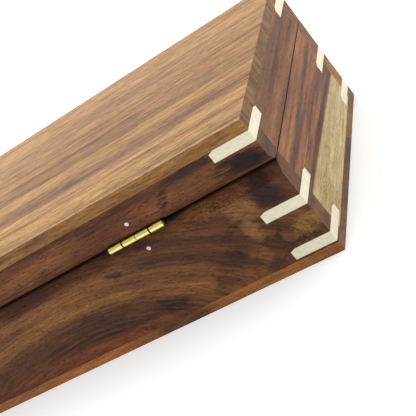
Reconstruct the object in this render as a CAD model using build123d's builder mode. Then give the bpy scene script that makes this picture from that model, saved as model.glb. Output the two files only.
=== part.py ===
from build123d import *
import os
from math import copysign, cos, hypot, radians, sin, tan

# Wooden card dealing shoe with a hinged lid, keyed corners and a rolling follower.
# X runs along the shoe, with the dealing mouth at +X and the closed rear end at -X.
# +Y is the hinge side, +Z is up, and the origin is the bottom centre of the whole shoe.
# All sizes are in millimetres and degrees.

# Box
LENGTH = 300.0
WIDTH = 108.0
HEIGHT = 62.1
BOARD = 8.5  # thickness of the side and end boards
TOP_PANEL = 4.9
BASE_PANEL = 4.1
PARTING_Z = 42.0  # the lid meets the case here, and the hinge axis lies at this height
PARTING_GAP = 0.3
GROOVE_DEPTH = 3.4  # V-groove along the parting line on the hinge side
LID_BEVEL_HEIGHT = 4.3
CASE_BEVEL_HEIGHT = 5.2
BEVEL_BULGE = 0.35  # how far the convex bevels stand proud of a straight line

# Dealing end
NOSE = 1.0  # blunt front edge of the base panel
FRONT_ANGLE = 40.0  # slope of the front above the horizontal
PLATE = 6.4  # thickness of the two sloping front plates, square to the slope
MOUTH_Z = 12.0  # lower edge of the dealing plate
NOTCH_WIDTH = 28.0
NOTCH_LENGTH = 30.0
NOTCH_CHAMFER = 1.2

# Corner keys
KEY_THICKNESS = 4.5
KEY_LEG = 16.9  # length of a rear key along each face
FRONT_KEY_LEG = 18.2
KEY_BEVEL = 2.2  # bevel along the upper edge of a key's inner side, measured along a face
KEY_BEVEL_HEIGHT = 0.8
UPPER_KEY_Z = 23.2  # lower sides of the case keys
LOWER_KEY_Z = 4.9

# Hinges
HINGE_INSET = 60.9  # from the rear end to the middle of the rear hinge
HINGE_SPACING = 102.0
AXIS_INSET = 1.45  # from the hinge side to the hinge axis
BARREL_RADIUS = 1.4
BARREL_GAP = 0.3  # from a barrel to the cove cut for it in the boards
KNUCKLE = 6.35
KNUCKLE_GAP = 0.3
KNUCKLE_GROOVE = 0.14
LEAF = 0.8
LEAF_HEIGHT = 10.5
LEAF_RELIEF = 1.8  # from the axis to a leaf's edge where the other leaf's knuckle turns
PIN_RADIUS = 0.7
PIN_CLEARANCE = 0.05
PIN_PROUD = 0.3
LOCK_PIN_RADIUS = 0.8
LOCK_PIN_SHIFT = -1.4  # from the middle of a hinge to its lock pins, along the shoe
LOCK_PIN_OFFSETS = {-1: 5.7, 1: 6.8}  # from the axis to the pin below and the pin above
LOCK_PIN_LENGTH = 5.5

# Ramp under the cards
RAMP = 2.5
RAMP_ANGLE = 2.0
RAMP_FRONT_X = 127.0
RAIL_WIDTH = 6.0
RAIL_FRONT_X = 98.0

# Follower
FOLLOWER_WIDTH = 89.5
FOLLOWER_BACK_X = 68.0
FOLLOWER_NOSE_X = 126.0
FOLLOWER_TOP_Z = 45.0
FOLLOWER_GAP = 0.8  # from the follower's face to the dealing plate, square to the slope
FOLLOWER_LIFT = 0.8  # from the ramp to the follower's underside
FOLLOWER_CHAMFER = 1.0
BALLAST_LENGTH = 18.0
BALLAST_WIDTH = 60.0
BALLAST_HEIGHT = 12.0
BALLAST_Z = 26.0
AXLE_RADIUS = 1.5
AXLE_LENGTH = 87.0
AXLE_CLEARANCE = 0.05
ROLLER_LENGTH = 60.0
ROLLER_GAP = 0.15  # from a roller to the ramp
POCKET_CLEARANCE = 0.8
POCKET_END_GAP = 0.5
ROLLERS = {"front_roller": (104.0, 6.0), "rear_roller": (78.0, 6.0)}  # x and radius

# Worked out from the sizes above
REAR_X = -LENGTH / 2
REAR_INNER_X = REAR_X + BOARD
INNER_WIDTH = WIDTH - 2 * BOARD
CASE_TOP = PARTING_Z - PARTING_GAP / 2
LID_BOTTOM = PARTING_Z + PARTING_GAP / 2
LID_TOP = HEIGHT - TOP_PANEL
LID_KEY_Z = LID_TOP - KEY_THICKNESS
HINGE_Y = WIDTH / 2 - AXIS_INSET
BARREL_LENGTH = 4 * KNUCKLE
PLATE_RUN = PLATE / sin(radians(FRONT_ANGLE))
HINGE_CENTRES = {"rear": REAR_X + HINGE_INSET, "front": REAR_X + HINGE_INSET + HINGE_SPACING}
FRONT_NORMAL = (sin(radians(FRONT_ANGLE)), 0, cos(radians(FRONT_ANGLE)))
FRONT = Plane(origin=(LENGTH / 2, 0, NOSE), z_dir=FRONT_NORMAL)


def front_x(z):
    """X of the sloping front at height z."""
    return LENGTH / 2 - (z - NOSE) / tan(radians(FRONT_ANGLE))


def front_z(x):
    """Height of the sloping front at x."""
    return NOSE + (LENGTH / 2 - x) * tan(radians(FRONT_ANGLE))


def ramp_z(x):
    """Height of the ramp's upper face at x."""
    return BASE_PANEL + RAMP + (RAMP_FRONT_X - x) * tan(radians(RAMP_ANGLE))


def side_plane(y):
    """Upright plane along the shoe at y: its own X is the shoe's X, its own Y is up."""
    return Plane.XZ.offset(-y)


def finish_piece(piece, label):
    """Label a piece and write it to its own file."""
    piece.label = label
    export_step(piece, f"parts/{label}.step")


def corner_key(corner_x, side, low, leg, inward):
    """Triangular key let into an upright corner, bevelled along its upper inner edge."""
    corner_y = side * WIDTH / 2
    bevel = Plane(
        origin=(corner_x + inward * leg, corner_y, low + KEY_THICKNESS - KEY_BEVEL_HEIGHT),
        z_dir=(inward * KEY_BEVEL_HEIGHT, -side * KEY_BEVEL_HEIGHT, KEY_BEVEL),
    )
    with BuildPart() as key:
        with BuildSketch(Plane.XY.offset(low)):
            with BuildLine():
                Polyline(
                    (corner_x, corner_y),
                    (corner_x + inward * leg, corner_y),
                    (corner_x, corner_y - side * leg),
                    close=True,
                )
            make_face()
        extrude(amount=KEY_THICKNESS)
        split(bisect_by=bevel, keep=Keep.BOTTOM)
        split(bisect_by=FRONT, keep=Keep.BOTTOM)
    return key.part


def along_board(section):
    """Straight board with the given outline across the shoe, cut off by the sloping front."""
    with BuildPart() as board:
        with BuildSketch(Plane.YZ.offset(REAR_X)):
            with BuildLine():
                Polyline(*section, close=True)
            make_face()
        extrude(amount=LENGTH)
        split(bisect_by=FRONT, keep=Keep.BOTTOM)
    return board.part


def hinge_side_board(far_z, parting_z, bevel_z):
    """Board on the hinge side, with a convex bevel on its outer edge along the parting line."""
    outer_y = WIDTH / 2
    groove_y = outer_y - GROOVE_DEPTH
    chord = hypot(GROOVE_DEPTH, parting_z - bevel_z)
    bevel_middle = (
        (outer_y + groove_y) / 2 + BEVEL_BULGE * abs(parting_z - bevel_z) / chord,
        (parting_z + bevel_z) / 2 + BEVEL_BULGE * copysign(GROOVE_DEPTH, parting_z - bevel_z) / chord,
    )
    with BuildPart() as board:
        with BuildSketch(Plane.YZ.offset(REAR_X)):
            with BuildLine():
                ThreePointArc((groove_y, parting_z), bevel_middle, (outer_y, bevel_z))
                Polyline(
                    (outer_y, bevel_z),
                    (outer_y, far_z),
                    (outer_y - BOARD, far_z),
                    (outer_y - BOARD, parting_z),
                    (groove_y, parting_z),
                )
            make_face()
        extrude(amount=LENGTH)
        split(bisect_by=FRONT, keep=Keep.BOTTOM)
    return board.part


def lock_pin(centre_x, direction):
    """Plain pin driven in from the hinge side, through a leaf that points up or down."""
    pin_z = PARTING_Z + direction * LOCK_PIN_OFFSETS[direction]
    with BuildPart() as pin:
        with BuildSketch(side_plane(WIDTH / 2)):
            with Locations((centre_x + LOCK_PIN_SHIFT, pin_z)):
                Circle(LOCK_PIN_RADIUS)
        extrude(amount=LOCK_PIN_LENGTH)
    return pin.part


def leaf_slot(centre_x, direction):
    """Saw slot that takes a leaf, cut into the edge of a side board."""
    with BuildPart() as slot:
        with BuildSketch(side_plane(HINGE_Y - BARREL_RADIUS + LEAF)):
            with Locations((centre_x, PARTING_Z + direction * LEAF_HEIGHT / 2)):
                Rectangle(BARREL_LENGTH, LEAF_HEIGHT)
        extrude(amount=LEAF)
    return slot.part


def barrel_cove(centre_x):
    """Round clearance for a hinge's barrel and its pin, cut into the bevels."""
    cove_length = BARREL_LENGTH + 2 * (PIN_PROUD + BARREL_GAP)
    with BuildPart() as cove:
        with BuildSketch(Plane.YZ.offset(centre_x - cove_length / 2)):
            with Locations((HINGE_Y, PARTING_Z)):
                Circle(BARREL_RADIUS + BARREL_GAP)
        extrude(amount=cove_length)
    return cove.part


def hinge_leaf(centre_x, direction, knuckle_starts, knuckle_length, bore_radius):
    """Brass leaf with its knuckles, pointing up into the lid or down into the case."""
    blade_height = LEAF_HEIGHT - LEAF_RELIEF
    with BuildPart() as leaf:
        with BuildSketch(side_plane(HINGE_Y - BARREL_RADIUS + LEAF)):
            with Locations((centre_x, PARTING_Z + direction * (LEAF_RELIEF + blade_height / 2))):
                Rectangle(BARREL_LENGTH, blade_height)
            for start in knuckle_starts:
                tab_x = centre_x + start + knuckle_length / 2
                with Locations((tab_x, PARTING_Z + direction * LEAF_RELIEF / 2)):
                    Rectangle(knuckle_length, LEAF_RELIEF)
        extrude(amount=LEAF)
        for start in knuckle_starts:
            with BuildSketch(Plane.YZ.offset(centre_x + start)):
                with Locations((HINGE_Y, PARTING_Z)):
                    Circle(BARREL_RADIUS)
            extrude(amount=knuckle_length)
        with BuildSketch(Plane.YZ.offset(centre_x - BARREL_LENGTH / 2)):
            with Locations((HINGE_Y, PARTING_Z)):
                Circle(bore_radius)
        extrude(amount=BARREL_LENGTH, mode=Mode.SUBTRACT)
        if direction > 0:
            with BuildSketch(Plane.YZ.offset(centre_x - KNUCKLE_GROOVE / 2)):
                with Locations((HINGE_Y, PARTING_Z)):
                    Circle(BARREL_RADIUS)
                    Circle(BARREL_RADIUS - KNUCKLE_GROOVE, mode=Mode.SUBTRACT)
            extrude(amount=KNUCKLE_GROOVE, mode=Mode.SUBTRACT)
        add(lock_pin(centre_x, direction), mode=Mode.SUBTRACT)
    return leaf.part


def pivot_pin(centre_x):
    """Steel pin through the four knuckles of a hinge, a little proud at each end."""
    with BuildPart() as pin:
        with BuildSketch(Plane.YZ.offset(centre_x - BARREL_LENGTH / 2 - PIN_PROUD)):
            with Locations((HINGE_Y, PARTING_Z)):
                Circle(PIN_RADIUS)
        extrude(amount=BARREL_LENGTH + 2 * PIN_PROUD)
    return pin.part


def cross_cylinder(centre_x, centre_z, radius, length, bore_radius=0.0):
    """Cylinder across the shoe, solid or with a bore."""
    with BuildPart() as cylinder:
        with BuildSketch(side_plane(length / 2)):
            with Locations((centre_x, centre_z)):
                Circle(radius)
                if bore_radius:
                    Circle(bore_radius, mode=Mode.SUBTRACT)
        extrude(amount=length)
    return cylinder.part


def roller_pocket(centre_x, centre_z, radius):
    """Round-topped pocket for a roller, open at the follower's underside."""
    with BuildPart() as pocket:
        with BuildSketch(side_plane(ROLLER_LENGTH / 2 + POCKET_END_GAP)):
            with Locations((centre_x, centre_z)):
                Circle(radius)
                Rectangle(2 * radius, 2 * radius, align=(Align.CENTER, Align.MAX))
        extrude(amount=ROLLER_LENGTH + 2 * POCKET_END_GAP)
    return pocket.part


os.makedirs("parts", exist_ok=True)

# Corner keys: two levels at each rear case corner, one at the others
case_keys = {}
lid_keys = {}
for side_name, side in (("left", 1), ("right", -1)):
    case_keys[f"case_key_rear_{side_name}_upper"] = corner_key(REAR_X, side, UPPER_KEY_Z, KEY_LEG, 1)
    case_keys[f"case_key_rear_{side_name}_lower"] = corner_key(REAR_X, side, LOWER_KEY_Z, KEY_LEG, 1)
    case_keys[f"case_key_front_{side_name}"] = corner_key(
        front_x(UPPER_KEY_Z), side, UPPER_KEY_Z, FRONT_KEY_LEG, -1
    )
    lid_keys[f"lid_key_rear_{side_name}"] = corner_key(REAR_X, side, LID_KEY_Z, KEY_LEG, 1)
    lid_keys[f"lid_key_front_{side_name}"] = corner_key(
        front_x(LID_KEY_Z), side, LID_KEY_Z, FRONT_KEY_LEG, -1
    )
for name, key in {**case_keys, **lid_keys}.items():
    finish_piece(key, name)

# Hinges: the case leaf has the outer two knuckles, the lid leaf the inner two
for place, centre_x in HINGE_CENTRES.items():
    outer_length = KNUCKLE - KNUCKLE_GAP / 2
    case_leaf = hinge_leaf(
        centre_x, -1, (-2 * KNUCKLE, KNUCKLE + KNUCKLE_GAP / 2), outer_length, PIN_RADIUS
    )
    lid_leaf = hinge_leaf(
        centre_x,
        1,
        (-KNUCKLE + KNUCKLE_GAP / 2,),
        2 * KNUCKLE - KNUCKLE_GAP,
        PIN_RADIUS + PIN_CLEARANCE,
    )
    finish_piece(case_leaf, f"hinge_case_leaf_{place}")
    finish_piece(lid_leaf, f"hinge_lid_leaf_{place}")
    finish_piece(pivot_pin(centre_x), f"hinge_pin_{place}")
    finish_piece(lock_pin(centre_x, -1), f"case_lock_pin_{place}")
    finish_piece(lock_pin(centre_x, 1), f"lid_lock_pin_{place}")

case_hinge_cuts = []
lid_hinge_cuts = []
for centre_x in HINGE_CENTRES.values():
    case_hinge_cuts.extend([leaf_slot(centre_x, -1), lock_pin(centre_x, -1), barrel_cove(centre_x)])
    lid_hinge_cuts.extend([leaf_slot(centre_x, 1), lock_pin(centre_x, 1), barrel_cove(centre_x)])

# Case side on the hinge side, bevelled along its upper outer edge
with BuildPart() as case_side_left:
    add(hinge_side_board(BASE_PANEL, CASE_TOP, CASE_TOP - CASE_BEVEL_HEIGHT))
    add([*case_keys.values(), *case_hinge_cuts], mode=Mode.SUBTRACT)
finish_piece(case_side_left.part, "case_side_left")

with BuildPart() as case_side_right:
    add(
        along_board(
            [
                (-WIDTH / 2, BASE_PANEL),
                (-WIDTH / 2 + BOARD, BASE_PANEL),
                (-WIDTH / 2 + BOARD, CASE_TOP),
                (-WIDTH / 2, CASE_TOP),
            ]
        )
    )
    add([*case_keys.values()], mode=Mode.SUBTRACT)
finish_piece(case_side_right.part, "case_side_right")

# End boards stand between the sides
with BuildPart() as case_rear_end:
    with BuildSketch(Plane.XY.offset(BASE_PANEL)):
        with Locations((REAR_X + BOARD / 2, 0)):
            Rectangle(BOARD, INNER_WIDTH)
    extrude(amount=CASE_TOP - BASE_PANEL)
    add([*case_keys.values()], mode=Mode.SUBTRACT)
finish_piece(case_rear_end.part, "case_rear_end")

with BuildPart() as lid_rear_end:
    with BuildSketch(Plane.XY.offset(LID_BOTTOM)):
        with Locations((REAR_X + BOARD / 2, 0)):
            Rectangle(BOARD, INNER_WIDTH)
    extrude(amount=LID_TOP - LID_BOTTOM)
    add([*lid_keys.values()], mode=Mode.SUBTRACT)
finish_piece(lid_rear_end.part, "lid_rear_end")

# Base and top panels overlay the ends of the boards
with BuildPart() as base_panel:
    add(
        along_board(
            [
                (-WIDTH / 2, 0),
                (WIDTH / 2, 0),
                (WIDTH / 2, BASE_PANEL),
                (-WIDTH / 2, BASE_PANEL),
            ]
        )
    )
finish_piece(base_panel.part, "base_panel")

with BuildPart() as top_panel:
    add(
        along_board(
            [
                (-WIDTH / 2, LID_TOP),
                (WIDTH / 2, LID_TOP),
                (WIDTH / 2, HEIGHT),
                (-WIDTH / 2, HEIGHT),
            ]
        )
    )
finish_piece(top_panel.part, "top_panel")

with BuildPart() as lid_side_left:
    add(hinge_side_board(LID_TOP, LID_BOTTOM, LID_BOTTOM + LID_BEVEL_HEIGHT))
    add([*lid_keys.values(), *lid_hinge_cuts], mode=Mode.SUBTRACT)
finish_piece(lid_side_left.part, "lid_side_left")

with BuildPart() as lid_side_right:
    add(
        along_board(
            [
                (-WIDTH / 2, LID_BOTTOM),
                (-WIDTH / 2 + BOARD, LID_BOTTOM),
                (-WIDTH / 2 + BOARD, LID_TOP),
                (-WIDTH / 2, LID_TOP),
            ]
        )
    )
    add([*lid_keys.values()], mode=Mode.SUBTRACT)
finish_piece(lid_side_right.part, "lid_side_right")

# Dealing plate in the slope, with the U-shaped finger notch cut square to it
notch_plane = Plane(origin=(front_x(MOUTH_Z), 0, MOUTH_Z), x_dir=(0, 1, 0), z_dir=FRONT_NORMAL)
notch_centre = NOTCH_LENGTH - NOTCH_WIDTH / 2
with BuildPart() as dealing_plate:
    with BuildSketch(side_plane(INNER_WIDTH / 2)):
        with BuildLine():
            Polyline(
                (front_x(MOUTH_Z), MOUTH_Z),
                (front_x(CASE_TOP), CASE_TOP),
                (front_x(CASE_TOP) - PLATE_RUN, CASE_TOP),
                (front_x(MOUTH_Z) - PLATE_RUN, MOUTH_Z),
                close=True,
            )
        make_face()
    extrude(amount=INNER_WIDTH)
    with BuildSketch(notch_plane):
        with Locations((0, notch_centre)):
            Circle(NOTCH_WIDTH / 2)
            Rectangle(NOTCH_WIDTH, 2 * NOTCH_LENGTH, align=(Align.CENTER, Align.MAX))
    extrude(amount=2 * PLATE, both=True, mode=Mode.SUBTRACT)
    front_face = dealing_plate.faces().sort_by(Axis((0, 0, 0), FRONT_NORMAL))[-1]
    notch_rim = front_face.edges().filter_by_position(
        Axis.Y, -NOTCH_WIDTH / 2 - NOTCH_CHAMFER, NOTCH_WIDTH / 2 + NOTCH_CHAMFER
    )
    chamfer(notch_rim, length=NOTCH_CHAMFER)
    add([*case_keys.values()], mode=Mode.SUBTRACT)
finish_piece(dealing_plate.part, "dealing_plate")

with BuildPart() as lid_front_plate:
    with BuildSketch(side_plane(INNER_WIDTH / 2)):
        with BuildLine():
            Polyline(
                (front_x(LID_BOTTOM), LID_BOTTOM),
                (front_x(LID_TOP), LID_TOP),
                (front_x(LID_TOP) - PLATE_RUN, LID_TOP),
                (front_x(LID_BOTTOM) - PLATE_RUN, LID_BOTTOM),
                close=True,
            )
        make_face()
    extrude(amount=INNER_WIDTH)
    add([*lid_keys.values()], mode=Mode.SUBTRACT)
finish_piece(lid_front_plate.part, "lid_front_plate")

# Ramp board, which slopes down to the mouth on two tapered rails
with BuildPart() as ramp_board:
    with BuildSketch(side_plane(INNER_WIDTH / 2)):
        with BuildLine():
            Polyline(
                (REAR_INNER_X, ramp_z(REAR_INNER_X) - RAMP),
                (RAMP_FRONT_X, BASE_PANEL),
                (RAMP_FRONT_X, BASE_PANEL + RAMP),
                (REAR_INNER_X, ramp_z(REAR_INNER_X)),
                close=True,
            )
        make_face()
    extrude(amount=INNER_WIDTH)
finish_piece(ramp_board.part, "ramp_board")

for side_name, outer_y in (("left", INNER_WIDTH / 2), ("right", -INNER_WIDTH / 2 + RAIL_WIDTH)):
    with BuildPart() as ramp_rail:
        with BuildSketch(side_plane(outer_y)):
            with BuildLine():
                Polyline(
                    (REAR_INNER_X, BASE_PANEL),
                    (RAIL_FRONT_X, BASE_PANEL),
                    (RAIL_FRONT_X, ramp_z(RAIL_FRONT_X) - RAMP),
                    (REAR_INNER_X, ramp_z(REAR_INNER_X) - RAMP),
                    close=True,
                )
            make_face()
        extrude(amount=RAIL_WIDTH)
    finish_piece(ramp_rail.part, f"ramp_rail_{side_name}")

# Rollers and their axles
roller_cuts = []
for name, (roller_x, roller_radius) in ROLLERS.items():
    roller_z = ramp_z(roller_x) + (roller_radius + ROLLER_GAP) / cos(radians(RAMP_ANGLE))
    bore_radius = AXLE_RADIUS + AXLE_CLEARANCE
    roller = cross_cylinder(roller_x, roller_z, roller_radius, ROLLER_LENGTH, bore_radius)
    axle = cross_cylinder(roller_x, roller_z, AXLE_RADIUS, AXLE_LENGTH)
    finish_piece(roller, name)
    finish_piece(axle, name.replace("roller", "axle"))
    roller_cuts.append(roller_pocket(roller_x, roller_z, roller_radius + POCKET_CLEARANCE))
    roller_cuts.append(cross_cylinder(roller_x, roller_z, AXLE_RADIUS, FOLLOWER_WIDTH))
    print(name, "centre x", roller_x, "z", round(roller_z, 4), "radius", roller_radius)

# Follower wedge, parallel to the dealing plate in front and to the ramp below
follower_run = PLATE_RUN + FOLLOWER_GAP / sin(radians(FRONT_ANGLE))
with BuildPart() as follower_block:
    with BuildSketch(side_plane(FOLLOWER_WIDTH / 2)):
        with BuildLine():
            Polyline(
                (FOLLOWER_BACK_X, ramp_z(FOLLOWER_BACK_X) + FOLLOWER_LIFT),
                (FOLLOWER_NOSE_X, ramp_z(FOLLOWER_NOSE_X) + FOLLOWER_LIFT),
                (FOLLOWER_NOSE_X, front_z(FOLLOWER_NOSE_X + follower_run)),
                (front_x(FOLLOWER_TOP_Z) - follower_run, FOLLOWER_TOP_Z),
                (FOLLOWER_BACK_X, FOLLOWER_TOP_Z),
                close=True,
            )
        make_face()
    extrude(amount=FOLLOWER_WIDTH)
    chamfer(follower_block.faces().sort_by(Axis.Z)[-1].edges(), length=FOLLOWER_CHAMFER)
    with BuildSketch(Plane.YZ.offset(FOLLOWER_BACK_X)):
        with Locations((0, BALLAST_Z + BALLAST_HEIGHT / 2)):
            Rectangle(BALLAST_WIDTH, BALLAST_HEIGHT)
    extrude(amount=BALLAST_LENGTH, mode=Mode.SUBTRACT)
    add(roller_cuts, mode=Mode.SUBTRACT)
finish_piece(follower_block.part, "follower_block")

with BuildPart() as follower_ballast:
    with BuildSketch(Plane.YZ.offset(FOLLOWER_BACK_X)):
        with Locations((0, BALLAST_Z + BALLAST_HEIGHT / 2)):
            Rectangle(BALLAST_WIDTH, BALLAST_HEIGHT)
    extrude(amount=BALLAST_LENGTH)
finish_piece(follower_ballast.part, "follower_ballast")
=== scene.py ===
from math import pi, radians

import bpy
from mathutils import Matrix, Vector


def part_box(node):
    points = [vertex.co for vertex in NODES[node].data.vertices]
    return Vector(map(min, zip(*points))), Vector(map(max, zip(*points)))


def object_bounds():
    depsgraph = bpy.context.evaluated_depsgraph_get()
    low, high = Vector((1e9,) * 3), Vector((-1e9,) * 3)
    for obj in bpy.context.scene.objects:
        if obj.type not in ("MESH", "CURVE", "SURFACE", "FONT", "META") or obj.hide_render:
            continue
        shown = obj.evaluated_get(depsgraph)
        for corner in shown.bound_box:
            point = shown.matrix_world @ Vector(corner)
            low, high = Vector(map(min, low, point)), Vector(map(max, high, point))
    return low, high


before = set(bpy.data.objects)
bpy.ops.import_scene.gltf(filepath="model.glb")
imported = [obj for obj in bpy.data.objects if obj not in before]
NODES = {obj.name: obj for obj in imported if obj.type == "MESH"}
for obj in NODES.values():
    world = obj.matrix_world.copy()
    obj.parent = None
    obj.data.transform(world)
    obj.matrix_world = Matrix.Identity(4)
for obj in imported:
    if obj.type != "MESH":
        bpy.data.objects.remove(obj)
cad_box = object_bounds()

# A wooden card dealing shoe: solid-wood materials for the boards, panels and keys, and brass and
# steel for the hinges, pins, ballast and rollers. The frame is in metres, and the materials work in
# millimetres.

LOW, HIGH = Vector(cad_box[0]), Vector(cad_box[1])
MM = 1000.0
REAR = LOW.x * MM  # x of the closed rear end
SIDE = HIGH.y * MM  # y of the hinge side
pin_low, pin_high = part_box("hinge_pin_rear")
PARTING = (pin_low.z + pin_high.z) * MM / 2  # height where the lid meets the case
AXIS_Y = (pin_low.y + pin_high.y) * MM / 2  # y of the hinge axis


# ---------------------------------------------------------------- node helpers
def tone(red, green, blue):
    """Scene colour of a display colour given as 0 to 255."""
    def linear(value):
        value /= 255.0
        return value / 12.92 if value <= 0.04045 else ((value + 0.055) / 1.055) ** 2.4

    return (linear(red), linear(green), linear(blue), 1.0)


class Graph:
    """A material's node tree, built by calls that return output sockets."""

    def __init__(self, name):
        self.material = bpy.data.materials.new(name)
        self.material.use_nodes = True
        self.tree = self.material.node_tree
        self.shader = self.tree.nodes["Principled BSDF"]

    def node(self, kind, feeds, **settings):
        node = self.tree.nodes.new(kind)
        for key, value in settings.items():
            setattr(node, key, value)
        for key, value in feeds.items():
            self.feed(node.inputs[key], value)
        return node

    def feed(self, socket, value):
        if isinstance(value, bpy.types.NodeSocket):
            self.tree.links.new(value, socket)
        else:
            socket.default_value = value

    def math(self, operation, first, second=0.0):
        node = self.node("ShaderNodeMath", {0: first, 1: second}, operation=operation)
        return node.outputs[0]

    def plus(self, first, second):
        return self.math("ADD", first, second)

    def minus(self, first, second):
        return self.math("SUBTRACT", first, second)

    def times(self, first, second):
        return self.math("MULTIPLY", first, second)

    def vector(self, operation, first, second=(0.0, 0.0, 0.0)):
        node = self.node("ShaderNodeVectorMath", {0: first, 1: second}, operation=operation)
        return node.outputs["Value" if operation == "LENGTH" else "Vector"]

    def combine(self, first, second, third):
        return self.node("ShaderNodeCombineXYZ", {0: first, 1: second, 2: third}).outputs[0]

    def split(self, vector):
        return self.node("ShaderNodeSeparateXYZ", {0: vector}).outputs[:]

    def noise(self, vector, scale, detail, roughness, colour=False):
        feeds = {"Vector": vector, "Scale": scale, "Detail": detail, "Roughness": roughness}
        return self.node("ShaderNodeTexNoise", feeds).outputs["Color" if colour else "Fac"]

    def sway(self, vector, scales, detail, roughness, reach):
        """Noise to add to a place: scales are per millimetre and reach is in millimetres."""
        place = self.vector("MULTIPLY", vector, scales)
        noise = self.noise(place, 1.0, detail, roughness, colour=True)
        centred = self.vector("SUBTRACT", noise, (0.5, 0.5, 0.5))
        return self.vector("MULTIPLY", centred, reach)

    def remap(self, value, low, high, to_low=0.0, to_high=1.0, smooth=False):
        feeds = {"Value": value, "From Min": low, "From Max": high}
        feeds.update({"To Min": to_low, "To Max": to_high})
        kind = "SMOOTHSTEP" if smooth else "LINEAR"
        return self.node("ShaderNodeMapRange", feeds, interpolation_type=kind).outputs["Result"]

    def mix(self, amount, first, second, blend="MIX"):
        node = self.node("ShaderNodeMix", {}, data_type="RGBA", blend_type=blend)
        for index, value in ((0, amount), (6, first), (7, second)):
            self.feed(node.inputs[index], value)
        return node.outputs[2]

    def ramp(self, value, stops):
        """Colour ramp through (place, colour) stops."""
        node = self.node("ShaderNodeValToRGB", {"Fac": value})
        node.color_ramp.interpolation = "LINEAR"
        elements = node.color_ramp.elements
        while len(elements) < len(stops):
            elements.new(1.0)
        for element, (place, _) in zip(elements, stops):
            element.position = place
        for element, (_, colour) in zip(elements, stops):
            element.color = colour
        return node.outputs["Color"]

    def patch(self, vector, middle, size, turn):
        """1 inside an ellipse with these half sizes on the face plane, fading to 0 at its rim."""
        placed = self.node(
            "ShaderNodeMapping",
            {
                "Vector": vector,
                "Location": (middle[0], middle[1], 0.0),
                "Rotation": (0.0, 0.0, radians(turn)),
                "Scale": (size[0], size[1], 1.0),
            },
            vector_type="TEXTURE",
        ).outputs[0]
        ball = self.node("ShaderNodeTexGradient", {"Vector": placed}, gradient_type="SPHERICAL")
        return self.remap(ball.outputs["Fac"], 0.0, 0.6, smooth=True)

    def bump(self, height, strength, distance):
        feeds = {"Height": height, "Strength": strength, "Distance": distance}
        self.feed(self.shader.inputs["Normal"], self.node("ShaderNodeBump", feeds).outputs[0])


# ---------------------------------------------------------------- wood
# Which of x, y and z run along the grain, across it on the piece's main face, and into that face
FACES = {"side": (0, 2, 1), "flat": (0, 1, 2), "end": (1, 2, 0)}

# Noise scales per millimetre in those three directions
DRIFT = (0.012, 0.05, 0.05)
RIPPLE = (0.09, 0.3, 0.3)
TEAR = (0.1, 0.28, 0.28)

FACING = (0.55, 0.9)  # how squarely a face looks along an axis as that axis's look sets in
LEAN = 0.06  # how far rings lean through the board
PARTING_SHADE_DARK = 0.12  # brightness at the darkest of the painted shade along the parting
WOOD_BUMP = (0.35, 0.00006)  # strength, and depth in metres


def ring_figure(g, flow, on_face, bent, deep, ring_noise):
    """Distance across the rings of a lying ellipse in millimetres, and their shade."""
    centre_along, centre_across, behind, ahead, reach = flow
    face_along, face_across, _ = g.split(on_face)
    bent_along, _, bent_deep = g.split(bent)
    offset = g.minus(face_along, centre_along)
    back = g.math("DIVIDE", g.math("MINIMUM", offset, 0.0), behind)
    front = g.math("DIVIDE", g.math("MAXIMUM", offset, 0.0), ahead)
    rise = g.plus(g.minus(face_across, centre_across), g.times(deep, LEAN))
    ring = g.vector("LENGTH", g.combine(g.plus(back, front), g.math("DIVIDE", rise, reach), 0.0))
    row = g.times(ring, reach)
    line_place = g.combine(row, g.times(bent_along, 0.03), g.times(bent_deep, 0.2))
    lines = g.noise(line_place, 0.7, 4.0, 0.7)
    return row, g.plus(g.times(ring, 0.5), g.times(g.minus(lines, 0.5), ring_noise))


def band_figure(g, bent, band, fineness, ring_noise):
    """Distance across flat bands in millimetres, and their shade."""
    bent_along, row, bent_deep = g.split(bent)
    band_place = g.combine(g.times(bent_along, 0.05), row, g.times(bent_deep, 0.7))
    bands = g.noise(band_place, 1.0 / band, 2.0, 0.55)
    line_place = g.combine(g.times(bent_along, 0.025), row, g.times(bent_deep, 0.8))
    lines = g.noise(line_place, 0.6 * fineness, 4.0, 0.7)
    shade = g.plus(g.remap(bands, 0.25, 0.75), g.times(g.minus(lines, 0.5), 4 * ring_noise))
    return row, shade


def end_brightness(g, along, across, deep, ticks):
    """Brightness of end grain, with round pores and ticks."""
    pores = g.noise(g.combine(g.times(along, 0.3), across, deep), 2.8, 2.0, 0.6)
    tick_place = g.combine(
        g.times(along, 0.1), g.times(across, ticks[0]), g.times(deep, ticks[1])
    )
    tick = g.noise(tick_place, 1.1, 3.0, 0.7)
    return g.times(g.remap(pores, 0.3, 0.7, 0.75, 1.15), g.remap(tick, 0.35, 0.65, 0.62, 1.3))


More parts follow.
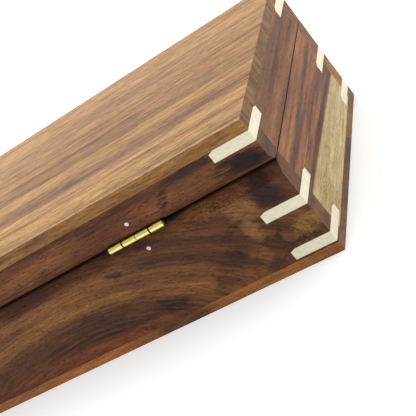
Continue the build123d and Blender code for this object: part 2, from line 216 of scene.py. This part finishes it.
def wood(
    name,
    face,
    stops,
    shift,
    flow=None,
    band=9.0,
    wander=2.0,
    ring_noise=0.12,
    fineness=1.0,
    patches=(),
    streaks=(),
    speckles=(),
    sapwood=None,
    ragged=0.0,
    fibre=0.2,
    pores=0.3,
    end_tint=(150, 118, 92),
    end_dark=0.6,
    ticks=(0.35, 0.5),
    edge_tint_and_shade=None,
    parting_shade=None,
    gloss=0.2,
    tint=(1.0, 1.0, 1.0),
):
    """Solid wood whose figure runs through the piece, so its ends show end grain.

    stops colours the figure from 0 to 1, and tint multiplies every colour. The figure is flat
    bands of about the width band, with lines in them that are thinner the larger fineness is. With
    flow, it is the rings of a lying ellipse: (centre along, centre across, reach behind, reach
    ahead, reach across).

    patches are (colour, strength, middle, half sizes, turn) on the face, streaks are the same
    broken into lines, and speckles are the same broken into dots. All of them have edges torn by
    ragged millimetres. sapwood is (colour, height, slope, softness) of a pale band below that
    height on the face.

    ticks are the end grain's scales across the face and into it. The tint of the long edges darkens
    them, partly because they cut the growth rings the other way and partly as painted shade of
    faces turned away from the light above. The shade at the parting is (across, deep, reach) of an
    edge with painted shade along the whole piece, standing in for the shadow where the lid meets
    the case.
    """

    def dyed(colour):
        return tuple(channel * factor for channel, factor in zip(colour, tint)) + (1.0,)

    g = Graph(name)
    place = g.node("ShaderNodeTexCoord", {})
    axes = g.split(g.vector("MULTIPLY", place.outputs["Object"], (MM, MM, MM)))
    along, across, deep = (axes[index] for index in FACES[face])
    plain = g.combine(along, across, deep)
    seeded = g.vector("ADD", plain, shift)

    # The grain drifts and ripples, and the marks on it have torn edges
    drift_reach = (6.0 * wander, 2.0 * wander, 2.0 * wander)
    drift = g.sway(seeded, DRIFT, 2.0, 0.5, drift_reach)
    ripple_reach = (2.4 * wander, 0.7 * wander, 0.7 * wander)
    ripple = g.sway(seeded, RIPPLE, 3.0, 0.6, ripple_reach)
    bent = g.vector("ADD", g.vector("ADD", seeded, drift), ripple)
    on_face = g.vector("ADD", g.vector("ADD", plain, drift), ripple)
    on_face = g.vector("MULTIPLY", on_face, (1.0, 1.0, 0.0))
    tear = g.sway(seeded, TEAR, 3.0, 0.65, (ragged, 0.55 * ragged, 0.0))
    torn = g.vector("ADD", on_face, tear)

    if flow:
        row, shade = ring_figure(g, flow, on_face, bent, deep, ring_noise)
    else:
        row, shade = band_figure(g, bent, band, fineness, ring_noise)
    colour = g.ramp(shade, [(level, dyed(stop)) for level, stop in stops])

    if sapwood:
        sap_colour, height, slope, softness = sapwood
        face_along, face_across, _ = g.split(on_face)
        rim = g.minus(face_across, g.times(face_along, slope))
        sap = g.remap(rim, height - softness, height + softness, 0.97, 0.0, smooth=True)
        colour = g.mix(sap, colour, dyed(tone(*sap_colour)))

    # Marks that stand apart from the rings
    bent_along, _, bent_deep = g.split(bent)
    hair_place = g.combine(g.times(bent_along, 0.035), row, bent_deep)
    hair = g.remap(g.noise(hair_place, fineness, 3.0, 0.7), 0.36, 0.6, smooth=True)
    dot_place = g.combine(g.times(along, 0.6), across, deep)
    dots = g.remap(g.noise(dot_place, 2.1, 2.0, 0.6), 0.5, 0.62, smooth=True)
    for broken, group in ((None, patches), (hair, streaks), (dots, speckles)):
        for rgb, strength, middle, size, turn in group:
            amount = g.patch(torn, middle, size, turn)
            if broken:
                amount = g.times(amount, broken)
            colour = g.mix(g.times(amount, strength), colour, dyed(tone(*rgb)))

    # Fibres and coarser strands, and pores as short dark dashes along the grain
    fibre_place = g.combine(g.times(bent_along, 0.1), row, bent_deep)
    fibres = g.noise(fibre_place, 3.4, 3.0, 0.6)
    strands = g.noise(fibre_place, 1.1, 3.0, 0.7)
    fibre_value = g.remap(fibres, 0.25, 0.75, 1.0 - 0.7 * fibre, 1.0 + 0.7 * fibre)
    strand_value = g.remap(strands, 0.3, 0.7, 1.0 - fibre, 1.0 + fibre)
    pore_place = g.vector("ADD", g.combine(g.times(along, 0.22), across, deep), shift)
    pore = g.remap(g.noise(pore_place, 2.3, 1.0, 0.5), 0.60, 0.70, smooth=True)
    value = g.times(g.times(fibre_value, strand_value), g.minus(1.0, g.times(pore, pores)))

    # End grain is darker and greyer, and the long edges may be darker too, partly from their cut of
    # the rings and partly as painted shade of faces turned away from the light above
    normals = g.split(place.outputs["Normal"])
    end = g.remap(g.math("ABSOLUTE", normals[FACES[face][0]]), *FACING, smooth=True)
    colour = g.mix(end, colour, g.mix(end_dark, colour, dyed(tone(*end_tint))))
    end_value = end_brightness(g, along, across, deep, ticks)
    value = g.plus(g.times(value, g.minus(1.0, end)), g.times(end_value, end))
    if edge_tint_and_shade:
        edge = g.remap(g.math("ABSOLUTE", normals[FACES[face][1]]), *FACING, smooth=True)
        colour = g.mix(edge, colour, g.mix(1.0, colour, edge_tint_and_shade + (1.0,), "MULTIPLY"))
    # Painted shade along the parting, where the gap between the lid and the case lies in shadow
    if parting_shade:
        edge_across, edge_deep, edge_reach = parting_shade
        off_across, off_deep = g.minus(across, edge_across), g.minus(deep, edge_deep)
        off_edge = g.vector("LENGTH", g.combine(off_across, off_deep, 0.0))
        unshaded = g.remap(off_edge, 0.3 * edge_reach, edge_reach, PARTING_SHADE_DARK, 1.0, smooth=True)
        value = g.times(value, unshaded)
    colour = g.mix(1.0, colour, g.combine(value, value, value), "MULTIPLY")

    g.feed(g.shader.inputs["Base Color"], colour)
    rough = g.plus(g.remap(fibres, 0.3, 0.7, 0.44, 0.56), g.times(pore, 0.2))
    g.feed(g.shader.inputs["Roughness"], rough)
    g.shader.inputs["Specular IOR Level"].default_value = gloss
    g.bump(g.minus(g.times(fibres, 0.5), pore), *WOOD_BUMP)
    return g.material


def key_wood(name, seed):
    """Pale, close-grained wood of the corner keys."""
    g = Graph(name)
    place = g.node("ShaderNodeTexCoord", {}).outputs["Object"]
    scaled = g.vector("ADD", g.vector("MULTIPLY", place, (MM, MM, MM)), (seed, 0.0, 0.0))
    across, over, up = g.split(scaled)
    grain = g.combine(g.times(across, 0.25), g.times(over, 0.25), up)
    lines = g.noise(grain, 1.4, 4.0, 0.65)
    stops = [(0.25, tone(211, 199, 169)), (0.5, tone(228, 220, 194)), (0.8, tone(239, 232, 210))]
    colour = g.ramp(lines, stops)
    mottle = g.remap(g.noise(scaled, 0.35, 2.0, 0.5), 0.45, 0.75, 0.0, 0.35)
    colour = g.mix(mottle, colour, tone(218, 204, 164))
    fleck_place = g.combine(across, over, g.times(up, 4.0))
    flecks = g.remap(g.noise(fleck_place, 2.6, 1.0, 0.5), 0.62, 0.72)
    colour = g.mix(g.times(flecks, 0.35), colour, tone(190, 172, 134))
    g.feed(g.shader.inputs["Base Color"], colour)
    g.feed(g.shader.inputs["Roughness"], g.remap(lines, 0.3, 0.7, 0.42, 0.54))
    g.shader.inputs["Specular IOR Level"].default_value = 0.3
    g.bump(lines, 0.25, 0.00004)
    return g.material


# ---------------------------------------------------------------- metal
RECESS_SHADE = (34, 25, 14)  # painted shade on metal in a joint or a recess


def metal(name, light, dark, roughness, along_axis, scratch=0.4, back=None, joints=None):
    """Bright metal drawn or turned along one axis, with fine lines and faint tarnish.

    back is (from, to): painted shade darkens the metal between the first y and the second, where
    it lies in a shadowed slot. joints is (middle, spacing, knuckle) in millimetres: hinges at that
    spacing along x get painted shade where their knuckles meet.
    """
    g = Graph(name)
    place = g.node("ShaderNodeTexCoord", {}).outputs["Object"]
    scaled = g.vector("MULTIPLY", place, (MM, MM, MM))
    stretch = [6.0, 6.0, 6.0]
    stretch[along_axis] = 0.4
    lines = g.noise(g.vector("MULTIPLY", scaled, tuple(stretch)), 1.0, 3.0, 0.6)
    cloud = g.noise(scaled, 0.35, 2.0, 0.5)
    colour = g.mix(g.remap(cloud, 0.4, 0.8, 0.0, 0.6, smooth=True), tone(*light), tone(*dark))
    colour = g.mix(g.remap(lines, 0.35, 0.75, 0.0, scratch), colour, tone(*dark))
    along_x, along_y, _ = g.split(scaled)
    if back:
        # Painted shade on the metal behind the hinge axis, inside the shadowed slot
        colour = g.mix(g.remap(along_y, *back, smooth=True), colour, tone(*RECESS_SHADE))
    if joints:
        middle, spacing, knuckle = joints
        moved = g.minus(along_x, middle - spacing / 2)
        offset = g.minus(g.math("FLOORED_MODULO", moved, spacing), spacing / 2)
        reach = g.math("ABSOLUTE", offset)
        meeting = g.math("ABSOLUTE", g.minus(reach, knuckle))
        # Painted shade in the gaps between knuckles, in the middle groove and at the barrel ends
        for gap_shade in (
            g.remap(meeting, 0.24, 0.44, 0.95, 0.0),  # between the case's and the lid's knuckles
            g.remap(reach, 0.08, 0.2, 0.7, 0.0),  # groove in the middle
            g.remap(reach, 2 * knuckle - 0.2, 2 * knuckle, 0.0, 0.7),  # ends of the barrel
        ):
            colour = g.mix(gap_shade, colour, tone(*RECESS_SHADE))
    g.feed(g.shader.inputs["Base Color"], colour)
    g.shader.inputs["Metallic"].default_value = 1.0
    rough = g.remap(lines, 0.3, 0.7, roughness - 0.06, roughness + 0.1)
    g.feed(g.shader.inputs["Roughness"], rough)
    g.bump(lines, 0.12, 0.00002)
    return g.material


# ---------------------------------------------------------------- materials
# The marks' middles and half sizes are in millimetres: (along, across) the face.
TOP_STOPS = [
    (0.0, tone(118, 82, 56)),
    (0.25, tone(145, 103, 66)),
    (0.45, tone(166, 121, 76)),
    (0.65, tone(174, 132, 80)),
    (1.0, tone(184, 146, 88)),
]
top_wood = wood(
    "top_wood",
    "flat",
    TOP_STOPS,
    shift=(40.0, 11.0, 3.0),
    band=3.0,
    wander=0.85,
    ring_noise=0.28,
    patches=[
        # Brown bands
        ((124, 84, 54), 0.6, (REAR + 54, -46), (26, 3.6), 0),
        ((126, 86, 54), 0.45, (REAR + 60, -24), (90, 2.0), 0),
        ((104, 72, 46), 0.5, (REAR + 80, -13.2), (60, 1.4), 0),
        ((120, 82, 52), 0.4, (REAR + 90, -2), (130, 1.4), 0),
        ((126, 86, 54), 0.5, (REAR + 100, 7.5), (150, 3.6), 0),
        ((128, 82, 52), 0.55, (REAR + 110, 26.5), (170, 6.5), 0),
        ((122, 84, 52), 0.4, (REAR + 100, 38.5), (130, 2.0), 0),
        # Golden bands
        ((184, 138, 76), 0.6, (REAR + 60, -38), (120, 4.4), 0),
        ((186, 140, 76), 0.6, (REAR + 70, -19.5), (120, 3.2), 0),
        ((186, 140, 76), 0.6, (REAR + 60, 15.5), (120, 2.4), 0),
        ((188, 146, 72), 0.65, (REAR + 110, 46), (160, 5.5), 0),
        # Painted sheen: the far half paler, where light washes across the top
        ((180, 142, 102), 0.4, (REAR + 90, -34), (220, 27), 0),
    ],
    streaks=[
        ((96, 62, 44), 0.7, (REAR + 60, 24), (110, 10.0), 0),
        ((96, 64, 44), 0.6, (REAR + 50, 4), (110, 11.0), 0),
        ((102, 68, 46), 0.55, (REAR + 80, -20), (120, 26.0), 0),
        ((96, 62, 40), 0.6, (REAR + 60, 49), (120, 6.0), 0),
    ],
    fineness=2.1,
    fibre=0.42,
    # long edges darker: partly their cut of the rings, partly painted shade of sides turned from
    # the light above
    edge_tint_and_shade=(0.63, 0.57, 0.53),
    end_tint=(70, 46, 32),
    end_dark=0.55,
    ticks=(0.45, 0.08),
    gloss=0.1,
)

SIDE_STOPS = [
    (0.0, tone(70, 40, 27)),
    (0.2, tone(82, 48, 30)),
    (0.32, tone(90, 53, 33)),
    (0.4, tone(84, 50, 31)),
    (0.445, tone(114, 76, 41)),
    (0.47, tone(130, 92, 48)),
    (0.495, tone(108, 71, 39)),
    (0.52, tone(94, 58, 34)),
    (0.545, tone(116, 76, 41)),
    (0.575, tone(88, 53, 32)),
    (0.605, tone(66, 39, 25)),
    (0.635, tone(92, 56, 33)),
    (0.67, tone(66, 39, 24)),
    (0.71, tone(96, 60, 34)),
    (0.745, tone(70, 42, 26)),
    (0.78, tone(112, 72, 38)),
    (0.83, tone(62, 37, 23)),
    (0.88, tone(106, 68, 37)),
    (0.94, tone(74, 41, 27)),
    (1.0, tone(66, 35, 25)),
]
side_wood = wood(
    "side_wood",
    "side",
    SIDE_STOPS,
    shift=(7.0, 3.0, 5.0),
    flow=(REAR + 110, -12.0, 78.0, 115.0, 45.0),
    wander=1.5,
    ring_noise=0.13,
    patches=[
        # Painted shade on the edge under the lid, and the brown field below it
        ((66, 36, 26), 0.3, (REAR + 100, 41), (34, 2.0), 0),
        ((122, 80, 46), 0.55, (REAR + 96, 34), (34, 6.5), 0),
        # Tan lobes by the rear corner
        ((118, 76, 40), 0.6, (REAR + 30, 39), (22, 4.4), 0),
        ((128, 92, 50), 0.8, (REAR + 20, 33), (9, 7), -20),
        ((132, 97, 56), 0.85, (REAR + 23, 23), (4, 7), -10),
        ((116, 80, 44), 0.65, (REAR + 26, 12), (4.5, 6), 0),
        ((134, 100, 52), 0.9, (REAR + 5, 16), (9, 5.5), -8),
        # Dark and reddish heartwood at the corner
        ((44, 25, 21), 0.95, (REAR + 9, 36), (9, 12), 8),
        ((84, 50, 33), 0.5, (REAR + 2, 35), (5, 8), 0),
        # Small knot
        ((36, 20, 15), 0.85, (REAR + 79, 32.7), (4.8, 1.7), 10),
        # Painted shadow in the groove beside the hinge's end
        ((20, 13, 10), 0.9, (REAR + 43.5, PARTING), (6, 2.6), 0),
    ],
    streaks=[
        # Dark lines under the arch
        ((28, 17, 14), 0.8, (REAR + 98, 13), (50, 5.0), 3),
        ((26, 15, 12), 0.85, (REAR + 70, 10), (12, 5.5), 35),
        ((44, 26, 20), 0.6, (REAR + 92, 20), (40, 5), 4),
        ((50, 29, 20), 0.75, (REAR + 41, 12), (20, 7), -40),
        # Warm lines under the arch
        ((116, 66, 36), 0.5, (REAR + 74, 19), (16, 5), -18),
        ((96, 54, 32), 0.6, (REAR + 80, 14), (12, 5), 0),
        ((126, 68, 35), 0.75, (REAR + 112, 6.6), (62, 3.4), 2),
        # Light lines of the arch
        ((142, 98, 48), 0.4, (REAR + 116, 28), (26, 2.2), 3),
        ((138, 96, 48), 0.5, (REAR + 128, 34), (60, 4.0), 3),
        # Dark outlines of the edge and the lobes
        ((30, 18, 14), 0.45, (REAR + 71, 40), (20, 2.0), 0),
        ((38, 24, 16), 0.8, (REAR + 28, 28), (12, 1.5), -22),
        ((34, 22, 15), 0.8, (REAR + 8, 11.6), (9, 1.4), 6),
        ((34, 22, 15), 0.7, (REAR + 16, 20), (2, 9), 12),
    ],
    speckles=[
        ((36, 20, 12), 0.65, (REAR + 30, 38.5), (19, 5.0), 0),
        ((60, 36, 20), 0.6, (REAR + 8, 13), (9, 6), 0),
    ],
    ragged=9.0,
    fibre=0.4,
    pores=0.55,
    # painted shade in the groove where the lid meets the case
    parting_shade=(PARTING, SIDE - 3.6, 1.7),
    end_tint=(96, 64, 36),
    ticks=(0.3, 0.5),
    tint=(1.02, 0.93, 0.84),
    gloss=0.16,
)

lid_side_wood = wood(
    "lid_side_wood",
    "side",
    [
        (0.0, tone(46, 26, 18)),
        (0.2, tone(70, 39, 26)),
        (0.4, tone(92, 53, 32)),
        (0.6, tone(104, 61, 35)),
        (0.8, tone(122, 76, 40)),
        (1.0, tone(140, 94, 48)),
    ],
    shift=(90.0, 31.0, 8.0),
    band=7.0,
    wander=2.2,
    ring_noise=0.2,
    patches=[
        # Tan field and lobe
        ((134, 90, 46), 0.5, (REAR + 106, 49.5), (30, 3.6), 0),
        ((100, 68, 36), 0.9, (REAR + 29, 50), (13, 6.0), 0),
        # Dark knot at the corner, and dark edge above the lobe
        ((26, 16, 13), 0.95, (REAR + 7, 48.5), (11, 5), 6),
        ((40, 27, 21), 0.8, (REAR + 28, 56.2), (17, 2.4), 0),
        # Painted shadow in the groove beside the hinge's end
        ((20, 13, 10), 0.9, (REAR + 44.5, PARTING), (5, 1.8), 0),
        # Warm brown fields above the hinge
        ((112, 70, 36), 0.4, (REAR + 46, 50), (8, 8), 0),
        ((84, 46, 30), 0.5, (REAR + 68, 50), (22, 6), 0),
    ],
    streaks=[
        # Dark lines at the corner, along the top and by the hinge, and a golden one
        ((24, 14, 12), 0.9, (REAR + 12, 50), (14, 6), -8),
        ((46, 26, 19), 0.55, (REAR + 68, 54.5), (30, 3), 0),
        ((40, 24, 17), 0.9, (REAR + 42, 50), (3.4, 7), 14),
        ((132, 88, 44), 0.6, (REAR + 110, 45.5), (40, 3), 0),
    ],
    speckles=[((44, 25, 16), 0.5, (REAR + 32, 45), (20, 4), 0)],
    ragged=7.0,
    fibre=0.4,
    pores=0.55,
    # painted shade in the groove where the lid meets the case
    parting_shade=(PARTING, SIDE - 3.6, 1.7),
    end_tint=(80, 54, 34),
    tint=(0.95, 0.88, 0.8),
    gloss=0.16,
)

END_STOPS = [
    (0.0, tone(76, 50, 38)),
    (0.3, tone(106, 68, 46)),
    (0.5, tone(128, 84, 54)),
    (0.7, tone(142, 94, 58)),
    (1.0, tone(156, 108, 68)),
]
end_wood = wood(
    "end_wood",
    "end",
    END_STOPS,
    shift=(14.0, 77.0, 2.0),
    band=4.0,
    wander=0.7,
    ring_noise=0.16,
    patches=[
        ((140, 114, 76), 0.6, (-19, 6.5), (7, 3.5), 0),
        ((198, 168, 112), 0.5, (24, 11), (13, 6), 0),
    ],
    streaks=[
        # Dark stripes
        ((66, 56, 54), 0.75, (0, 34.5), (80, 1.5), 0),
        ((64, 50, 46), 0.75, (0, 26.0), (90, 3.0), 1.2),
        ((58, 40, 34), 0.85, (0, 20.6), (90, 2.2), 2.3),
        # Darker and lighter lines in the sapwood
        ((146, 116, 70), 0.7, (0, 10), (80, 10), 2),
        ((222, 202, 156), 0.6, (-10, 8), (60, 9), 2),
        # Orange stripes
        ((150, 86, 48), 0.5, (6, 38.5), (70, 1.6), 0),
        ((150, 86, 48), 0.45, (-4, 30.0), (70, 1.6), 0.5),
    ],
    speckles=[
        ((118, 92, 54), 0.6, (34, 12), (14, 10), 0),
        ((130, 104, 62), 0.5, (10, 12), (60, 8), 0),
    ],
    sapwood=((182, 160, 116), 19.0, 0.04, 0.9),
    # painted shade on the thin line of the gap where the lid meets the case
    parting_shade=(PARTING, REAR, 0.5),
    fibre=0.26,
    pores=0.25,
    gloss=0.1,
    end_tint=(104, 82, 62),
)

lid_end_wood = wood(
    "lid_end_wood",
    "end",
    END_STOPS,
    shift=(64.0, 17.0, 9.0),
    band=5.0,
    wander=0.8,
    ring_noise=0.14,
    patches=[((104, 84, 70), 0.5, (-10, 54.2), (80, 1.8), 0)],
    # painted shade on the thin line of the gap where the lid meets the case
    parting_shade=(PARTING, REAR, 0.5),
    tint=(0.84, 0.8, 0.76),
    gloss=0.1,
    end_tint=(104, 82, 62),
)

far_side_wood = wood(
    "far_side_wood",
    "side",
    SIDE_STOPS,
    shift=(31.0, 53.0, 15.0),
    flow=(REAR + 170, 12.0, 110.0, 90.0, 26.0),
    wander=1.8,
    ring_noise=0.14,
    patches=[
        ((134, 94, 57), 0.6, (REAR + 2, 42), (14, 24), 0),
        ((156, 110, 54), 0.9, (REAR + 2, 14), (14, 9), 0),
        ((122, 78, 40), 0.5, (REAR + 60, 30), (30, 7), -8),
        ((38, 20, 15), 0.7, (REAR + 215, 22), (34, 6), 5),
    ],
    streaks=[((134, 72, 36), 0.6, (REAR + 150, 7), (110, 4), 0)],
    ragged=9.0,
    fibre=0.4,
    pores=0.55,
    end_tint=(122, 82, 40),
    end_dark=0.2,
    tint=(1.02, 0.92, 0.82),
    gloss=0.16,
)

base_wood = wood(
    "base_wood",
    "flat",
    [
        (0.0, tone(78, 44, 24)),
        (0.3, tone(112, 66, 34)),
        (0.55, tone(134, 82, 40)),
        (0.8, tone(148, 94, 48)),
        (1.0, tone(160, 108, 60)),
    ],
    shift=(5.0, 60.0, 21.0),
    band=5.0,
    wander=1.2,
    fibre=0.4,
    pores=0.4,
    patches=[
        # Olive, grey and pale parts of the rear end
        ((80, 59, 41), 0.6, (REAR + 1, 28), (9, 30), 0),
        ((58, 60, 66), 0.8, (REAR + 1, -10), (5, 5.5), 0),
        ((142, 112, 66), 0.7, (REAR + 1, -30), (8, 17), 0),
        # Golden and dark parts of the edge on the hinge side
        ((160, 100, 46), 0.85, (REAR + 118, SIDE), (34, 6), 0),
        ((148, 96, 44), 0.7, (REAR + 28, SIDE), (26, 6), 0),
        ((78, 48, 28), 0.7, (REAR + 70, SIDE), (18, 5), 0),
    ],
    streaks=[
        ((70, 48, 36), 0.5, (REAR + 60, 0), (110, 30), 0),
        ((62, 36, 24), 0.7, (REAR + 68, SIDE), (16, 5), 0),
    ],
    end_tint=(100, 72, 50),
    end_dark=0.35,
    ticks=(0.3, 0.2),
)

ramp_wood = wood(
    "ramp_wood",
    "flat",
    [
        (0.0, tone(150, 112, 74)),
        (0.35, tone(176, 136, 92)),
        (0.65, tone(196, 158, 110)),
        (1.0, tone(212, 178, 130)),
    ],
    shift=(50.0, 90.0, 1.0),
    band=9.0,
    wander=1.6,
)

follower_wood = wood(
    "follower_wood",
    "end",
    [
        (0.0, tone(66, 36, 24)),
        (0.35, tone(96, 56, 34)),
        (0.65, tone(120, 74, 44)),
        (1.0, tone(144, 96, 58)),
    ],
    shift=(20.0, 33.0, 70.0),
    band=6.0,
    wander=1.4,
)

front_wood = wood(
    "front_wood",
    "end",
    END_STOPS,
    shift=(120.0, 8.0, 30.0),
    band=7.0,
    wander=1.2,
    ring_noise=0.12,
    end_tint=(104, 82, 62),
)

light_keys = key_wood("key_wood", 12.0)

hinge_boxes = [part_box(f"hinge_pin_{place}") for place in ("rear", "front")]
rear_hinge_x, front_hinge_x = [(low.x + high.x) * MM / 2 for low, high in hinge_boxes]
leaf_low, leaf_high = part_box("hinge_case_leaf_rear")
knuckle = (leaf_high.x - leaf_low.x) * MM / 4  # length of one of a hinge's four knuckles
brass = metal(
    "brass",
    (246, 230, 150),
    (218, 192, 104),
    roughness=0.26,
    along_axis=0,
    scratch=0.3,
    # painted shade on the leaves behind the hinge axis
    back=(AXIS_Y - 0.35, AXIS_Y - 0.55),
    joints=(rear_hinge_x, front_hinge_x - rear_hinge_x, knuckle),
)
bar_brass = metal("bar_brass", (232, 208, 128), (196, 164, 84), roughness=0.34, along_axis=1)
steel = metal("steel", (196, 197, 200), (132, 133, 138), roughness=0.3, along_axis=1)
roller_steel = metal("roller_steel", (206, 207, 210), (142, 144, 150), roughness=0.3, along_axis=1)

BOARDS = {
    "top_panel": top_wood,
    "base_panel": base_wood,
    "case_side_left": side_wood,
    "lid_side_left": lid_side_wood,
    "case_side_right": far_side_wood,
    "lid_side_right": far_side_wood,
    "case_rear_end": end_wood,
    "lid_rear_end": lid_end_wood,
    "dealing_plate": front_wood,
    "lid_front_plate": front_wood,
    "ramp_board": ramp_wood,
    "ramp_rail_left": ramp_wood,
    "ramp_rail_right": ramp_wood,
    "follower_block": follower_wood,
}


def material_of(node):
    if node in BOARDS:
        return BOARDS[node]
    if "key" in node:
        return light_keys
    if node == "follower_ballast":
        return bar_brass
    if "leaf" in node:
        return brass
    return roller_steel if "roller" in node or "axle" in node else steel


EASE = 0.00022  # width of the wooden pieces' eased edges, in metres
for node, piece in NODES.items():
    piece.data.materials.clear()
    piece.data.materials.append(material_of(node))
    if node in BOARDS or "key" in node:
        ease = piece.modifiers.new("eased_edges", "BEVEL")
        ease.width = EASE
        ease.segments = 2
        ease.limit_method = "ANGLE"
        ease.angle_limit = radians(25)

# ---------------------------------------------------------------- stage
FLOOR_SIZE = 12.0
FLOOR_COLOUR = (0.93, 0.95, 0.96, 1.0)
FLOOR_GLOW = 0.24  # lifts the floor to the white of a studio table
WHITE = (1.0, 1.0, 1.0, 1.0)
WORLD_STRENGTH = 0.6

bpy.ops.mesh.primitive_plane_add(size=FLOOR_SIZE, location=(0.0, 0.0, 0.0))
floor = bpy.context.object
floor.name = "floor"
ground = Graph("floor_white")
ground.shader.inputs["Base Color"].default_value = FLOOR_COLOUR
ground.shader.inputs["Emission Color"].default_value = WHITE
ground.shader.inputs["Emission Strength"].default_value = FLOOR_GLOW
ground.shader.inputs["Roughness"].default_value = 0.9
ground.shader.inputs["Specular IOR Level"].default_value = 0.1
floor.data.materials.append(ground.material)


def area_light(name, place, target, size, power):
    """Soft square lamp at place, turned towards target."""
    data = bpy.data.lights.new(name, "AREA")
    data.shape = "SQUARE"
    data.size = size
    data.energy = power
    lamp = bpy.data.objects.new(name, data)
    lamp.location = place
    lamp.rotation_euler = (Vector(target) - Vector(place)).to_track_quat("-Z", "Y").to_euler()
    bpy.context.scene.collection.objects.link(lamp)


area_light("overhead", (0.15, -0.35, 1.9), (0.0, 0.0, 0.03), size=2.4, power=24.0)
area_light("key_light", (0.45, -0.8, 0.8), (0.0, 0.0, 0.03), size=0.8, power=6.0)
area_light("rear_fill", (-1.6, 0.2, 0.8), (-0.1, 0.0, 0.03), size=1.4, power=7.0)

world = bpy.data.worlds.new("studio")
world.use_nodes = True
world.node_tree.nodes["Background"].inputs["Color"].default_value = WHITE
world.node_tree.nodes["Background"].inputs["Strength"].default_value = WORLD_STRENGTH
bpy.context.scene.world = world
bpy.context.scene.view_settings.view_transform = "Standard"

# ---------------------------------------------------------------- camera
# Placed from the rear corner on the hinge side, in widths of the shoe, and rolled as the picture is
WIDTH = HIGH.y - LOW.y
CORNER = Vector((LOW.x, HIGH.y, LOW.z))
CAMERA_OFFSET = Vector((-1.16592, 2.52804, 1.63948))
AZIMUTH, ELEVATION, ROLL = radians(119.757), radians(23.655), radians(-41.131)
aimed = Matrix.Rotation(AZIMUTH + pi / 2, 4, "Z") @ Matrix.Rotation(pi / 2 - ELEVATION, 4, "X")
camera_data = bpy.data.cameras.new("camera")
camera_data.lens = 86.57
camera_data.sensor_width = 36.0
camera_data.clip_start = 0.01
camera = bpy.data.objects.new("camera", camera_data)
camera.matrix_world = (
    Matrix.Translation(CORNER + CAMERA_OFFSET * WIDTH) @ aimed @ Matrix.Rotation(ROLL, 4, "Z")
)
bpy.context.scene.collection.objects.link(camera)
bpy.context.scene.camera = camera

bpy.context.view_layer.update()
